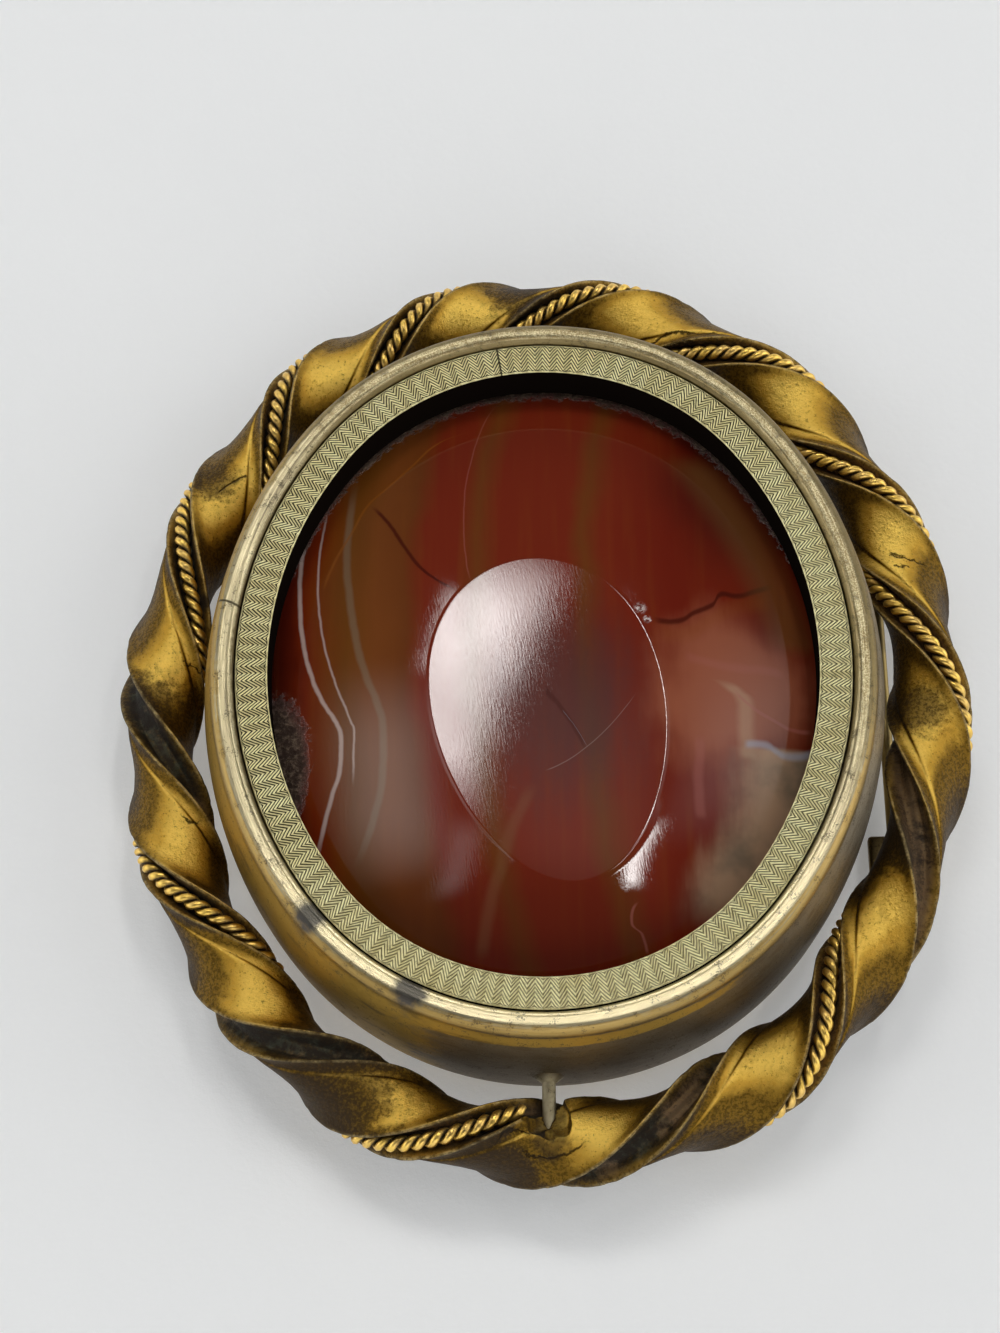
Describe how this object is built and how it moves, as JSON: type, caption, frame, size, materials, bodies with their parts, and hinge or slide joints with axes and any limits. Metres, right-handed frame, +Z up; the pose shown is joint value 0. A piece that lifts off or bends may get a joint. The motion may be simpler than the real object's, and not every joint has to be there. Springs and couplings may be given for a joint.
{
  "type": "swivel mourning brooch",
  "caption": "Oval swivel brooch: an agate in an engraved barrel locket that turns on two pins inside a frame of twisted gilt strip with twisted wire in its grooves.",
  "frame": {"origin": "middle of the surface that the brooch lies on, under the middle of the frame", "axes": "+Z up out of the stone as the brooch lies on its back, +Y along the swivel pins towards the upper end"},
  "size_m": [0.06, 0.0691, 0.0134],
  "materials": {
    "gilt_strip": "worn gilding with brown patina",
    "gilt_wire": "worn gilding, dark between the strands",
    "case_brass": "satin, gilding worn off the rim",
    "engraved_brass": "bright cut engraving in a zigzag weave",
    "agate": "polished, banded",
    "plate_brass": "satin, lightly scratched",
    "pin_brass": "satin"
  },
  "bodies": {
    "frame": {"twisted_frame": "gilt_strip", "long_wire": "gilt_wire", "short_wire": "gilt_wire", "brooch_pin": "pin_brass"},
    "locket": {"locket_case": "case_brass", "engraved_bezel": "engraved_brass", "agate": "agate", "back_plate": "plate_brass"}
  },
  "joints": [
    {"name": "swivel", "type": "hinge", "parent": "frame", "child": "locket", "pos_m": [0, 0, 0.0067], "axis": [0, 1, 0], "continuous": true}
  ]
}
